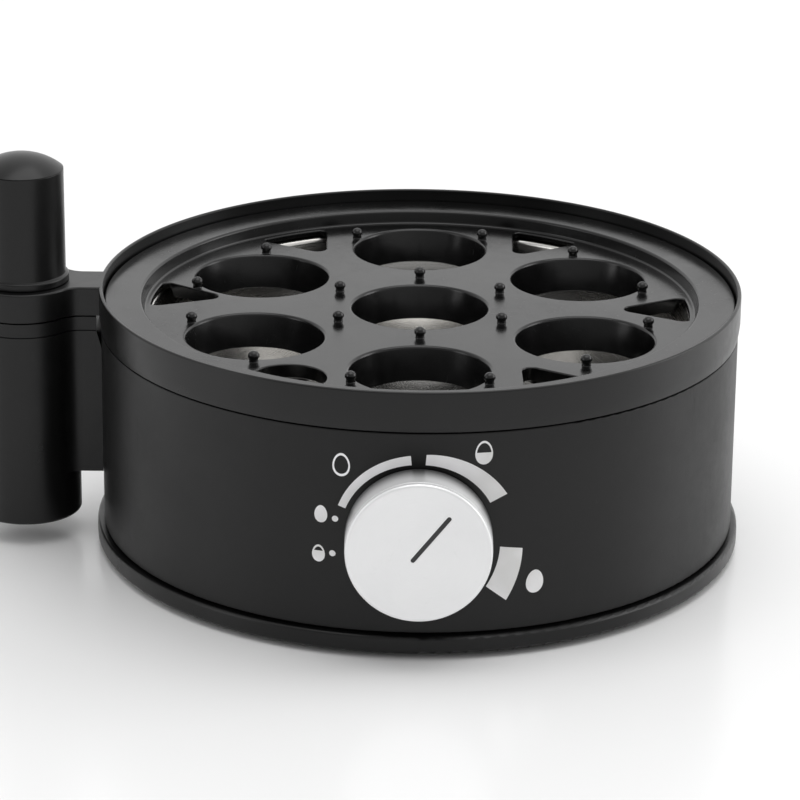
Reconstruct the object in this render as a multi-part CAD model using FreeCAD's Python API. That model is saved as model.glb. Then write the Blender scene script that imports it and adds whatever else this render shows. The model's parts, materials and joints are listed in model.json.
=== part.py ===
import FreeCAD, Part
import math, os
from FreeCAD import Vector as V

os.makedirs("parts", exist_ok=True)

# ------------------------------------------------------------------
# Egg cooker, millimetres, +Z up, control knob facing -Y, side holder on -X.
# Everything is drawn about the body's own axis, standing on z = 0, and is
# moved at the end so that the origin is the centre of the footprint box.
# ------------------------------------------------------------------

# --- heights above the table ---
Z_TABLE = 0.0
FOOT_H = 1.5                 # rubber feet stand this far below the base
Z_BASE_TOP = 6.4             # top of the base flange
GAP_SEAM = 0.4               # open seams between the outer shells
Z_BAND_BOT = 6.85
Z_BAND_TOP = 61.7
Z_COLLAR_BOT = 62.1
Z_RIM = 73.0                 # top of the collar rim
Z_LEDGE_TOP = 65.8
Z_LEDGE_BOT = 62.6
Z_TRAY_RIM = 69.7            # top of the tray's outer band
Z_TRAY_FLOOR = 66.1          # top of the tray's recessed floor

# --- radii ---
R_BASE = 88.8
R_BAND = 87.0
T_BAND = 1.6
R_COLLAR = 87.5
R_COLLAR_IN = 86.4
R_TRAY = 86.0
R_RECESS = 75.9

# --- egg seats ---
SEAT_PITCH_R = 51.0          # ring of six seats
SEAT_R = 18.5                # opening at the tray floor
SEAT_R_LOW = 16.4            # opening at the skirt's lower edge
SKIRT_BOT = 57.0
SEAT_ANGLES = [30 + 60 * i for i in range(6)]

# --- knob ---
Z_KNOB = 33.7
KNOB_R_FACE = 18.45
KNOB_R_BACK = 19.4
Y_KNOB_FACE = -98.6
Y_KNOB_BACK = -87.7
POINTER_ANGLE = 38.5         # from vertical, clockwise seen from the front

# --- side holder and measuring cup ---
POST_X = -108.35
POST_R = 14.8
POST_BORE_R = 13.2
EAR_BORE_R = 11.95
Z_EAR_BOT = 64.9
Z_FLANGE_TOP = 64.6
Z_FLANGE_BOT = 60.95
Z_HOLDER_BOT = 6.2
BRIDGE_HALF = 7.3
BRIDGE_FILLET = 6.5
Z_WEB_BOT = 19.7
CUP_R = 11.55
CUP_WALL = 1.2
Z_CUP_MOUTH = 22.0
Z_CUP_TOP = 104.4
Z_CAP_TOP = 108.6

# --- footprint box centre, taken off at the end ---
X_MIN = POST_X - POST_R
X_MAX = R_BASE
Y_MIN = Y_KNOB_FACE
GLAND_OUT = 3.2              # cord gland stands proud of the band
Y_MAX = R_BAND + GLAND_OUT
OFF_X = (X_MIN + X_MAX) / 2.0
OFF_Y = (Y_MIN + Y_MAX) / 2.0

NODES = {}
Z = V(0, 0, 1)


def put(name, shape):
    NODES[name] = shape


# ---------------- helpers ----------------
def cyl(r, z0, z1, x=0.0, y=0.0):
    return Part.makeCylinder(r, z1 - z0, V(x, y, z0), Z)


def tube(ro, ri, z0, z1, x=0.0, y=0.0):
    return cyl(ro, z0, z1, x, y).cut(cyl(ri, z0 - 1, z1 + 1, x, y))


def box(x0, x1, y0, y1, z0, z1):
    return Part.makeBox(x1 - x0, y1 - y0, z1 - z0, V(x0, y0, z0))


def ycyl(r, y0, y1, x, z):
    return Part.makeCylinder(r, y1 - y0, V(x, y0, z), V(0, 1, 0))


def xcyl(r, x0, x1, y, z):
    return Part.makeCylinder(r, x1 - x0, V(x0, y, z), V(1, 0, 0))


def revolve(pts, x=0.0, y=0.0):
    """Closed profile of (r, z) points, or ('a', (rm, zm), (r, z)) arcs, turned about a vertical axis."""
    edges = []
    first = prev = None
    for p in pts:
        if p[0] == 'a':
            mid, end = p[1], p[2]
            edges.append(Part.Arc(V(prev[0], 0, prev[1]), V(mid[0], 0, mid[1]), V(end[0], 0, end[1])).toShape())
            prev = end
        else:
            if prev is None:
                first = prev = p
                continue
            if math.hypot(p[0] - prev[0], p[1] - prev[1]) > 1e-6:
                edges.append(Part.LineSegment(V(prev[0], 0, prev[1]), V(p[0], 0, p[1])).toShape())
            prev = p
    if math.hypot(prev[0] - first[0], prev[1] - first[1]) > 1e-6:
        edges.append(Part.LineSegment(V(prev[0], 0, prev[1]), V(first[0], 0, first[1])).toShape())
    face = Part.Face(Part.Wire(edges))
    s = face.revolve(V(0, 0, 0), Z, 360)
    s.translate(V(x, y, 0))
    return s


def corner(p, c, n, r):
    """Round corner c between p and n with radius r: returns entry point and arc item."""
    ax, ay = p[0] - c[0], p[1] - c[1]
    bx, by = n[0] - c[0], n[1] - c[1]
    la, lb = math.hypot(ax, ay), math.hypot(bx, by)
    ax, ay, bx, by = ax / la, ay / la, bx / lb, by / lb
    half = math.acos(max(-1, min(1, ax * bx + ay * by))) / 2
    t = r / math.tan(half)
    e = (c[0] + ax * t, c[1] + ay * t)
    x = (c[0] + bx * t, c[1] + by * t)
    mx, my = ax + bx, ay + by
    lm = math.hypot(mx, my)
    d = r / math.sin(half) - r
    m = (c[0] + mx / lm * d, c[1] + my / lm * d)
    return [e, ('a', m, x)]


def rounded(pts):
    """Profile with optional third value per point: its corner radius."""
    out = []
    n = len(pts)
    for i, p in enumerate(pts):
        if len(p) == 3 and p[2] > 0:
            a, b = pts[i - 1], pts[(i + 1) % n]
            out += corner((a[0], a[1]), (p[0], p[1]), (b[0], b[1]), p[2])
        else:
            out.append((p[0], p[1]))
    return out


def wire2d(pts, z):
    """Closed planar wire at height z from points and arcs."""
    edges = []
    first = prev = None
    for p in pts:
        if p[0] == 'a':
            mid, end = p[1], p[2]
            edges.append(Part.Arc(V(prev[0], prev[1], z), V(mid[0], mid[1], z), V(end[0], end[1], z)).toShape())
            prev = end
        else:
            if prev is None:
                first = prev = p
                continue
            if math.hypot(p[0] - prev[0], p[1] - prev[1]) > 1e-6:
                edges.append(Part.LineSegment(V(prev[0], prev[1], z), V(p[0], p[1], z)).toShape())
            prev = p
    if math.hypot(prev[0] - first[0], prev[1] - first[1]) > 1e-6:
        edges.append(Part.LineSegment(V(prev[0], prev[1], z), V(first[0], first[1], z)).toShape())
    return Part.Wire(edges)


def prism(pts, z0, z1):
    return Part.Face(wire2d(pts, z0)).extrude(V(0, 0, z1 - z0))


def polar(r, a, cx=0.0, cy=0.0):
    t = math.radians(a)
    return cx + r * math.cos(t), cy + r * math.sin(t)


def hexagon(af, z0, z1, x, y):
    rr = af / math.sqrt(3)
    pts = [(x + rr * math.cos(math.radians(60 * i)), y + rr * math.sin(math.radians(60 * i))) for i in range(6)]
    return prism(pts, z0, z1)


def group(shapes):
    return Part.makeCompound(shapes)


def fillet_where(shape, radius, test):
    edges = [e for e in shape.Edges if test(e)]
    if not edges:
        return shape
    try:
        r = shape.makeFillet(radius, edges)
        return r if r.isValid() and r.Volume > 0 else shape
    except Exception:
        print("fillet skipped", radius, len(edges))
        return shape


# ------------------------------------------------------------------
# 1. Base shell: round dish with a proud flange, an inner spigot for the
#    band, four screw towers, board posts and a recessed underside.
# ------------------------------------------------------------------
SCREW_R = 80.0
SCREW_ANGLES = [45, 135, 225, 315]
FOOT_POS_R = 72.0
FOOT_ANGLES = [0, 90, 180, 270]
BOARD = (8.0, 66.0, -24.0, 26.0)       # control board x0, x1, y0, y1
Z_BOARD = 14.0
BOARD_POSTS = [(12.5, -19.5), (61.5, -19.5), (12.5, 21.5), (61.5, 21.5)]

base = revolve(rounded([
    (0, 3.4), (82.95, 3.4), (83.4, FOOT_H, 0.0), (R_BASE, FOOT_H, 1.0), (R_BASE, Z_BASE_TOP, 0.9), (85.2, Z_BASE_TOP),
    (85.2, 13.6), (83.4, 13.6), (83.4, 5.6), (0, 5.6)]))
for a in SCREW_ANGLES:
    x, y = polar(SCREW_R - 0.6, a)
    base = base.fuse(cyl(3.6, 5.0, 12.0, x, y))
for (x, y) in BOARD_POSTS:
    base = base.fuse(tube(2.6, 1.1, 5.0, Z_BOARD, x, y))
TERM_X, TERM_Y = 0.0, 62.0
for dx in (-12.0, 12.0):
    base = base.fuse(tube(2.6, 1.1, 5.0, 12.0, TERM_X + dx, TERM_Y))
# foot recesses
for a in FOOT_ANGLES:
    x, y = polar(FOOT_POS_R, a)
    base = base.fuse(tube(7.2, 5.6, 2.2, 4.0, x, y))
    base = base.cut(cyl(1.7, 2.0, 6.5, x, y))
# screw holes with head recesses
for a in SCREW_ANGLES:
    x, y = polar(SCREW_R - 0.6, a)
    base = base.cut(cyl(1.7, 1.0, 13.0, x, y))
    base = base.cut(cyl(3.2, 1.0, 4.6, x, y))
# drain and vent slots in the floor, two fans of five
for s in (0, 180):
    for k in range(-2, 3):
        a = s + 90 + 14 * k
        sl = box(34, 50, -1.0, 1.0, 2.0, 7.0).fuse(cyl(1.0, 2, 7, 34, 0)).fuse(cyl(1.0, 2, 7, 50, 0))
        sl.rotate(V(0, 0, 0), Z, a)
        base = base.cut(sl)
put("base_shell", base)

# ------------------------------------------------------------------
# 2. Band: the tall satin wall, with the shaft hole at the front, the
#    cord opening at the back and two screw holes behind the holder web.
# ------------------------------------------------------------------
Z_GLAND = 22.5
GLAND_HOLE_R = 5.0
HOLDER_SCREW_Z = [29.0, 50.0]
band = revolve(rounded([
    (R_BAND - T_BAND, Z_BAND_BOT), (R_BAND, Z_BAND_BOT, 0.35), (R_BAND, Z_BAND_TOP, 0.35), (R_BAND - T_BAND, Z_BAND_TOP)]))
band = band.cut(ycyl(3.75, -90, -80, 0, Z_KNOB))
band = band.cut(ycyl(GLAND_HOLE_R, 80, 92, 0, Z_GLAND))
for z in HOLDER_SCREW_Z:
    band = band.cut(xcyl(1.7, -90, -80, 0, z))
# the rear of the wall is its own panel, which carries the cord gland; upright seams 0.2 mm wide
REAR_HALF = 17.0


def sector(half, r0, r1, z0, z1):
    """Block between two radii, centred on +Y."""
    f = Part.Face(Part.makePolygon([V(r0, 0, z0), V(r1, 0, z0), V(r1, 0, z1), V(r0, 0, z1), V(r0, 0, z0)]))
    b = f.revolve(V(0, 0, 0), Z, 2 * half)
    b.rotate(V(0, 0, 0), Z, 90 - half)
    return b


rear = band.common(sector(REAR_HALF, 80, 92, 5, 65))
band = band.cut(sector(REAR_HALF + math.degrees(0.2 / R_BAND), 80, 92, 5, 65))
put("body_band", band)
put("rear_panel", rear)

# ------------------------------------------------------------------
# 3. Top collar: rim, inner ledge, skirt, screw posts and the ear ring
#    that steadies the measuring cup.
# ------------------------------------------------------------------
collar = revolve(rounded([
    (79.6, Z_LEDGE_BOT), (83.3, Z_LEDGE_BOT), (83.3, 55.0), (85.1, 55.0), (85.1, Z_COLLAR_BOT), (86.75, Z_COLLAR_BOT, 0.25),
    (R_COLLAR, Z_COLLAR_BOT + 3.3, 1.6), (R_COLLAR, Z_RIM, 0.5), (R_COLLAR_IN, Z_RIM, 0.5),
    (R_COLLAR_IN, Z_LEDGE_TOP), (79.6, Z_LEDGE_TOP)]))


def ear_outline(off=0.0, x_in=-84.0):
    """Ring round the post blended by two concave fillets into a straight bridge."""
    ro, hw, rf = POST_R - off, BRIDGE_HALF - off, BRIDGE_FILLET
    cyf = hw + rf
    dx = math.sqrt((ro + rf) ** 2 - cyf ** 2)
    cxf = POST_X + dx
    k = ro / (ro + rf)
    tx, ty = POST_X + dx * k, cyf * k
    ang_t = math.atan2(ty, tx - POST_X)
    # mid of concave fillet arc, measured from its own centre
    a0 = math.atan2(ty - cyf, tx - cxf)
    a1 = math.atan2(hw - cyf, 0.0)
    am = (a0 + a1) / 2.0
    mx, my = cxf + rf * math.cos(am), cyf + rf * math.sin(am)
    return [(x_in, -hw), (x_in, hw), (cxf, hw), ('a', (mx, my), (tx, ty)),
            ('a', (POST_X - ro, 0.0), (tx, -ty)), ('a', (mx, -my), (cxf, -hw)), (x_in, -hw)]


ear = prism(ear_outline(x_in=-86.9), Z_EAR_BOT, Z_RIM)
ear = fillet_where(ear, 0.6, lambda e: abs(e.CenterOfMass.z - Z_RIM) < 1e-4 and e.CenterOfMass.x < -87.5)
ear = ear.cut(cyl(EAR_BORE_R, 50, 90, POST_X, 0))
ear = ear.cut(Part.makeCone(EAR_BORE_R, EAR_BORE_R + 0.5, 0.5, V(POST_X, 0, Z_RIM - 0.5), Z))
collar = collar.fuse(ear)
for a in SCREW_ANGLES:
    x, y = polar(SCREW_R - 0.6, a)
    post = cyl(3.5, 12.2, 61.5, x, y)
    rib = box(SCREW_R - 0.6, 84.2, -1.0, 1.0, 55.5, 61.5)
    rib.rotate(V(0, 0, 0), Z, a)
    post = post.fuse(rib).cut(cyl(1.35, 10, 34, x, y))
    collar = collar.fuse(post)
collar = collar.removeSplitter()
put("top_collar", collar)

# ------------------------------------------------------------------
# 4. Side holder: closed-bottom tube with a flange under the ear and a
#    hollow web screwed to the band.
# ------------------------------------------------------------------
outer = revolve(rounded([
    (0, Z_HOLDER_BOT), (POST_R, Z_HOLDER_BOT, 0.9), (POST_R, Z_FLANGE_BOT + 0.2), (0, Z_FLANGE_BOT + 0.2)]), POST_X, 0)
web = box(-100.0, -86.0, -BRIDGE_HALF, BRIDGE_HALF, Z_WEB_BOT, Z_FLANGE_BOT + 0.2)
blend = prism(ear_outline(x_in=-86.0), Z_WEB_BOT, Z_FLANGE_BOT + 0.2)
groove = prism(ear_outline(off=0.45, x_in=-86.0), Z_FLANGE_BOT - 0.35, Z_FLANGE_BOT + 0.1)
flange = prism(ear_outline(x_in=-86.0), Z_FLANGE_BOT, Z_FLANGE_TOP)
flange = flange.cut(cyl(R_COLLAR + 0.35, 40, 80))
lower = outer.fuse(blend)
lower = lower.cut(box(-130, -80, -20, 20, Z_FLANGE_BOT - 0.35, 70))
mid = groove
holder = lower.fuse(mid).fuse(flange)
# clear the band, and the collar's lower edge with a slanted relief
holder = holder.cut(cyl(R_BAND + 0.02, 0, Z_FLANGE_BOT + 0.5))
relief = revolve([(80, 55.6), (R_BAND + 0.02, 55.6), (R_COLLAR + 0.8, 60.4), (R_COLLAR + 0.8, 66), (80, 66)])
holder = holder.cut(relief)
holder = holder.cut(cyl(POST_BORE_R, Z_HOLDER_BOT + 1.8, 80, POST_X, 0))
holder = holder.cut(cyl(2.5, 0, 20, POST_X, 0))
# web pocket with two screw bosses
pocket = box(-92.6, -80, -5.6, 5.6, Z_WEB_BOT + 1.8, 53.6)
for z in HOLDER_SCREW_Z:
    pocket = pocket.cut(xcyl(3.4, -110, -80, 0, z))
holder = holder.cut(pocket)
for z in HOLDER_SCREW_Z:
    holder = holder.cut(xcyl(1.2, -93.5, -80, 0, z))
holder = holder.removeSplitter()
put("side_holder", holder)


def pan_screw(r_head, h_head, r_shank, length):
    """Screw along +X from the underside of its head at x = 0: shank to -X, head to +X, cross recess in the head."""
    s = xcyl(r_head, 0, h_head, 0, 0)
    s = fillet_where(s, h_head * 0.45, lambda e: abs(e.CenterOfMass.x - h_head) < 1e-4)
    s = s.fuse(xcyl(r_shank, -length, 0.3, 0, 0))
    c = box(h_head - 0.9, h_head + 1, -r_head * 0.6, r_head * 0.6, -0.35, 0.35)
    c2 = box(h_head - 0.9, h_head + 1, -0.35, 0.35, -r_head * 0.6, r_head * 0.6)
    return s.cut(c).cut(c2)


hs = []
for z in HOLDER_SCREW_Z:
    s = pan_screw(2.9, 2.0, 1.2, 7.2)
    s.translate(V(-(R_BAND - T_BAND) + 0.07, 0, z))
    hs.append(s)
put("holder_screws", group(hs))

# ------------------------------------------------------------------
# 5. Heating pan: stepped, drawn dish with three studs underneath.
# ------------------------------------------------------------------
PT = 0.8
pan = revolve(rounded([
    (0, 43.2), (68.0, 43.2, 5.0), (74.4, 63.2, 1.0), (78.8, 63.2, 1.0), (78.8, 66.85, 0.4), (86.0, 66.85),
    (86.0, 66.85 + PT), (78.0, 66.85 + PT, 0.9), (78.0, 64.0, 0.4), (73.6, 64.0, 1.8), (67.35, 44.0, 4.2), (0, 44.0)]))
STUD_R = 61.0
STUD_ANGLES = [90, 210, 330]
for a in STUD_ANGLES:
    x, y = polar(STUD_R, a)
    pan = pan.fuse(cyl(1.9, 25.5, 43.6, x, y))
put("heating_pan", pan)

seal = revolve(rounded([(80.0, Z_LEDGE_TOP), (85.4, Z_LEDGE_TOP), (85.4, 66.85), (80.0, 66.85)]))
put("pan_seal", seal)

# heat spreader and tubular element
spreader = tube(57.0, 11.5, 41.4, 43.2)
for a in STUD_ANGLES:
    x, y = polar(STUD_R, a)
    spreader = spreader.cut(cyl(6.5, 40, 45, x, y))
put("heat_spreader", spreader)

EL_R, EL_r, Z_EL = 44.0, 3.2, 38.2
el_gap = 22.0                                   # half angle of the open part, at +Y
wire_pts = []
a0, a1 = el_gap, 360 - el_gap
p0 = V(*polar(EL_R, 90 + a0), Z_EL)
p1 = V(*polar(EL_R, 90 + a1), Z_EL)
pm = V(0, -EL_R, Z_EL)
ring_path = Part.Wire([Part.Arc(p0, pm, p1).toShape()])
prof = Part.Wire([Part.Circle(p0, V(-math.sin(math.radians(90 + a0)), math.cos(math.radians(90 + a0)), 0), EL_r).toShape()])
ring = ring_path.makePipeShell([prof], True, False)
element = ring
for aa in (a0, a1):
    x, y = polar(EL_R, 90 + aa)
    element = element.fuse(Part.makeSphere(EL_r + 0.001, V(x, y, Z_EL)))
    leg = Part.makeCylinder(EL_r, 9.0, V(x, y, Z_EL), V(0, 0, -1))
    element = element.fuse(leg)
    element = element.fuse(Part.makeCylinder(1.2, 8.0, V(x, y, Z_EL - 8.5), V(0, 0, -1)))
put("heating_element", element)

# ------------------------------------------------------------------
# 6. Heat shield: sheet-metal dish clamped under the ledge.
# ------------------------------------------------------------------
ST = 0.8
shield = revolve(rounded([
    (0, 29.4), (66.4, 29.4, 3.0), (76.1, 61.8, 1.0), (82.6, 61.8), (82.6, Z_LEDGE_BOT), (75.35, Z_LEDGE_BOT, 1.0),
    (65.8, 30.2, 3.5), (0, 30.2)]))
for a in STUD_ANGLES:
    x, y = polar(STUD_R, a)
    shield = shield.cut(cyl(2.1, 20, 34, x, y))
for sgn in (1, -1):
    x, y = polar(EL_R, 90 + a0 * sgn)
    shield = shield.cut(cyl(4.6, 25, 35, x, y))
shield = shield.cut(cyl(10.0, 25, 35))
for x in (-15.0, 15.0):
    shield = shield.cut(cyl(1.6, 25, 35, x, 0))
for k in range(12):
    x, y = polar(28.0, 15 + 30 * k)
    shield = shield.cut(cyl(2.2, 25, 35, x, y))
shield = shield.removeSplitter()
put("heat_shield", shield)

nuts = []
for a in STUD_ANGLES:
    x, y = polar(STUD_R, a)
    n = hexagon(6.8, 26.8, 29.4, x, y).cut(cyl(1.92, 20, 34, x, y))
    nuts.append(n)
put("pan_nuts", group(nuts))

# ------------------------------------------------------------------
# 7. Thermostat with its bracket, thermal fuse in a sleeve.
# ------------------------------------------------------------------
th = revolve([(0, 43.2), (8.0, 43.2), (8.0, 38.0), (7.0, 38.0), (7.0, 31.5), (0, 31.5)])
th = th.fuse(box(-5.2, -4.6, -3.0, 3.0, 22.5, 31.6)).fuse(box(4.6, 5.2, -3.0, 3.0, 22.5, 31.6))
for x in (-5.2, 4.6):
    th = th.cut(Part.makeCylinder(0.9, 2.0, V(x - 0.5, 0, 24.6), V(1, 0, 0)))
put("thermostat", th)
tb = box(-18.0, 18.0, -5.0, 5.0, 36.4, 37.2).cut(cyl(7.1, 30, 40))
tb = tb.fuse(box(-18.0, -17.2, -5.0, 5.0, 30.2, 37.2)).fuse(box(17.2, 18.0, -5.0, 5.0, 30.2, 37.2))
tb = tb.fuse(box(-18.0, -12.2, -5.0, 5.0, 30.2, 31.0)).fuse(box(12.2, 18.0, -5.0, 5.0, 30.2, 31.0))
for x in (-15.0, 15.0):
    tb = tb.cut(cyl(1.3, 25, 34, x, 0))
tb = tb.fuse(tube(8.1, 7.05, 37.0, 37.9))
put("thermostat_bracket", tb)
bs = []
for x in (-15.0, 15.0):
    s = cyl(1.25, 27.0, 33.6, x, 0).fuse(cyl(2.6, 27.4, 29.4, x, 0))
    s = s.cut(box(x - 1.6, x + 1.6, -0.35, 0.35, 20, 28.0))
    bs.append(s)
put("bracket_screws", group(bs))
fuse = ycyl(2.0, -6.0, 6.0, 26.0, 34.6).fuse(ycyl(1.0, -11.0, 11.0, 26.0, 34.6))
put("thermal_fuse", fuse)
clip = ycyl(2.6, -4.0, 4.0, 26.0, 34.6).cut(ycyl(2.0, -5, 5, 26.0, 34.6)).cut(box(24.8, 27.2, -5, 5, 36.0, 38))
clip = clip.fuse(box(23.0, 29.0, -4.0, 4.0, 30.2, 32.3).cut(ycyl(2.3, -5, 5, 26.0, 34.6)))
put("fuse_clip", clip)

# ------------------------------------------------------------------
# 8. Rotary switch behind the band, its nut, shaft, and the knob.
# ------------------------------------------------------------------
SW_BACK = -72.6
sw = box(-10.0, 10.0, -81.5, SW_BACK, Z_KNOB - 9.6, Z_KNOB + 9.6)
sw = fillet_where(sw, 1.5, lambda e: len(e.Vertexes) == 2 and abs(e.Vertexes[0].Point.y - e.Vertexes[1].Point.y) > 8)
sw = sw.fuse(ycyl(6.0, -85.0, -81.0, 0, Z_KNOB))
sw = sw.fuse(ycyl(3.6, -92.3, -84.0, 0, Z_KNOB))
sw = sw.cut(ycyl(3.03, -100, SW_BACK - 2.6, 0, Z_KNOB))
for x in (-6.5, 0.0, 6.5):
    sw = sw.fuse(box(x - 1.6, x + 1.6, SW_BACK - 0.2, SW_BACK + 6.0, Z_KNOB - 9.0, Z_KNOB - 8.4))
put("rotary_switch", sw)

nut_pts = []
nut = hexagon(10.0, 0.0, 2.2, 0, 0)
nut.rotate(V(0, 0, 0), V(1, 0, 0), 90)            # now runs from y = 0 to y = -2.2
nut.translate(V(0, -87.05, Z_KNOB))
nut = nut.cut(ycyl(3.62, -95, -80, 0, Z_KNOB))
put("switch_nut", nut)

shaft = ycyl(2.98, -96.2, SW_BACK - 3.0, 0, Z_KNOB)
flat_cut = box(-5, 5, -98, -92.6, Z_KNOB + 1.6, Z_KNOB + 5)
shaft = shaft.cut(flat_cut)
put("control_shaft", shaft)


def yrev(pts, z):
    """Closed (r, y) profile turned about the horizontal axis x = 0 at height z."""
    edges = []
    first = prev = None
    for p in pts:
        if p[0] == 'a':
            edges.append(Part.Arc(V(prev[0], prev[1], 0), V(p[1][0], p[1][1], 0), V(p[2][0], p[2][1], 0)).toShape())
            prev = p[2]
        else:
            if prev is None:
                first = prev = p
                continue
            if math.hypot(p[0] - prev[0], p[1] - prev[1]) > 1e-6:
                edges.append(Part.LineSegment(V(prev[0], prev[1], 0), V(p[0], p[1], 0)).toShape())
            prev = p
    if math.hypot(prev[0] - first[0], prev[1] - first[1]) > 1e-6:
        edges.append(Part.LineSegment(V(prev[0], prev[1], 0), V(first[0], first[1], 0)).toShape())
    s = Part.Face(Part.Wire(edges)).revolve(V(0, 0, 0), V(0, 1, 0), 360)
    s.translate(V(0, 0, z))
    return s


knob = yrev(rounded([
    (0, Y_KNOB_FACE), (KNOB_R_FACE, Y_KNOB_FACE, 0.9), (KNOB_R_BACK, Y_KNOB_BACK, 0.4), (17.8, Y_KNOB_BACK),
    (17.2, -96.6), (5.6, -96.6), (5.6, -92.9), (0, -92.9)]), Z_KNOB)
bore = ycyl(3.0, -96.3, -92.0, 0, Z_KNOB).cut(box(-5, 5, -99, -90, Z_KNOB + 1.62, Z_KNOB + 5))
knob = knob.cut(bore)
for k in range(6):
    rib = box(5.0, 17.5, -96.8, -93.5, -0.6, 0.6)
    rib.rotate(V(0, 0, 0), V(0, 1, 0), 60 * k + 30)
    rib.translate(V(0, 0, Z_KNOB))
    knob = knob.fuse(rib)
# engraved pointer slot, from near the centre outward past it
PTR_IN, PTR_OUT, PTR_W, PTR_D = -2.3, 12.2, 1.15, 0.5


def pointer_body(w, y0, y1, trim=0.0):
    b = box(-w / 2, w / 2, y0, y1, PTR_IN + trim, PTR_OUT - trim)
    b = b.fuse(ycyl(w / 2, y0, y1, 0, PTR_IN + trim)).fuse(ycyl(w / 2, y0, y1, 0, PTR_OUT - trim))
    b.rotate(V(0, 0, 0), V(0, 1, 0), POINTER_ANGLE)
    b.translate(V(0, 0, Z_KNOB))
    return b


knob = knob.cut(pointer_body(PTR_W, Y_KNOB_FACE - 1, Y_KNOB_FACE + PTR_D))
knob = knob.removeSplitter()
put("knob", knob)
put("knob_pointer", pointer_body(PTR_W, Y_KNOB_FACE + 0.12, Y_KNOB_FACE + PTR_D))

# ------------------------------------------------------------------
# 9. Printed scale on the band: arcs of rising width and egg signs, as
#    thin skins on the cylinder.
# ------------------------------------------------------------------
INK = 0.06


def ink_from_outline(pts_xz):
    """Skin of thickness INK on the band, bounded by an outline in x and z."""
    vs = [V(x, -100.0, z) for x, z in pts_xz]
    w = Part.makePolygon(vs + [vs[0]])
    pr = Part.Face(w).extrude(V(0, 25, 0))
    skin = tube(R_BAND + INK, R_BAND + 0.004, 8, 60)
    return skin.common(pr)


def arc_band(a0, a1, ri0, ro0, ri1, ro1, n=18):
    """Band round the knob from clock angle a0 to a1, widening from (ri0, ro0) to (ri1, ro1)."""
    o, i = [], []
    for k in range(n + 1):
        t = k / n
        a = math.radians(a0 + (a1 - a0) * t)
        ro = ro0 + (ro1 - ro0) * t
        ri = ri0 + (ri1 - ri0) * t
        o.append((ro * math.sin(a), Z_KNOB + ro * math.cos(a)))
        i.append((ri * math.sin(a), Z_KNOB + ri * math.cos(a)))
    return o + i[::-1]


def egg_outline(cx, cz, w, h, tilt=0.0, scale=1.0, n=36):
    pts = []
    for k in range(n):
        t = 2 * math.pi * k / n
        r = 1.0 - 0.10 * math.cos(t)
        x = 0.5 * w * scale * math.sin(t) * r
        z = 0.5 * h * scale * math.cos(t)
        ct, st = math.cos(math.radians(tilt)), math.sin(math.radians(tilt))
        pts.append((cx + x * ct + z * st, cz - x * st + z * ct))
    return pts


SCALE = {
    "arc_low": (-70.1, -5.8, 20.0, 22.0, 19.7, 22.2),
    "arc_mid": (4.5, 64.0, 19.7, 22.5, 20.2, 25.0),
    "arc_high": (99.5, 129.2, 21.2, 27.1, 22.5, 29.3),
}
# egg signs: centre from the knob axis (x, z), width, height, tilt, inner outline ratio (0 = solid)
EGGS = [
    (-19.92, 18.66, 4.5, 6.3, 0.0, 0.80, 0.0),
    (16.37, 22.64, 4.5, 6.4, 0.0, 0.82, 0.5),
    (30.08, -14.13, 4.5, 6.4, 4.0, 0.0, 0.0),
    (-25.09, 4.61, 3.3, 4.7, 0.0, 0.0, 0.0),
    (-25.66, -6.32, 3.3, 4.7, 0.0, 0.76, 0.65),
]
DOTS = [(-21.42, 3.68, 0.82), (-22.08, -5.94, 0.82)]
marks = []
for k, v in SCALE.items():
    marks.append(ink_from_outline(arc_band(*v)))
for (ex, ez, ew, eh, tilt, inner, fill) in EGGS:
    cz = Z_KNOB + ez
    body = ink_from_outline(egg_outline(ex, cz, ew, eh, tilt))
    if inner > 0:
        hole = egg_outline(ex, cz, ew, eh, tilt, inner)
        pr = Part.Face(Part.makePolygon([V(x, -100.0, z) for x, z in hole] + [V(hole[0][0], -100.0, hole[0][1])])).extrude(V(0, 25, 0))
        if fill > 0:
            pr = pr.common(box(ex - 9, ex + 9, -101, -70, cz - eh / 2 + fill * eh, cz + eh))
        body = body.cut(pr)
    marks.append(body)
for (dx, dz, dr) in DOTS:
    pts = [(dx + dr * math.cos(2 * math.pi * k / 20), Z_KNOB + dz + dr * math.sin(2 * math.pi * k / 20)) for k in range(20)]
    marks.append(ink_from_outline(pts))
put("dial_marks", group(marks))

# ------------------------------------------------------------------
# 10. Egg tray: flat outer band, step, floor with seven open seats,
#     steam openings, a finger hole and small pins.
# ------------------------------------------------------------------
tray = revolve(rounded([
    (0, 64.5), (76.8, 64.5, 0.8), (77.4, 67.75, 0.8), (R_TRAY, 67.75, 0.3), (R_TRAY, Z_TRAY_RIM, 0.5), (R_RECESS, Z_TRAY_RIM, 0.8),
    (75.3, Z_TRAY_FLOOR, 0.7), (0, Z_TRAY_FLOOR)]))
seat_centres = [(0.0, 0.0)] + [polar(SEAT_PITCH_R, a) for a in SEAT_ANGLES]
for (x, y) in seat_centres:
    sk = Part.makeCone(SEAT_R_LOW + 1.3, SEAT_R + 1.5, Z_TRAY_FLOOR - 0.8 - SKIRT_BOT, V(x, y, SKIRT_BOT), Z)
    tray = tray.fuse(sk)
for (x, y) in seat_centres:
    hole = revolve([
        (0, SKIRT_BOT - 1), (SEAT_R_LOW - 0.2, SKIRT_BOT - 1), (SEAT_R, Z_TRAY_FLOOR - 0.8),
        ('a', (SEAT_R + 0.25, Z_TRAY_FLOOR - 0.25), (SEAT_R + 0.85, Z_TRAY_FLOOR)), (SEAT_R + 0.85, Z_TRAY_FLOOR + 2), (0, Z_TRAY_FLOOR + 2)], x, y)
    tray = tray.cut(hole)
SLOT_OUT = 73.6


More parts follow.
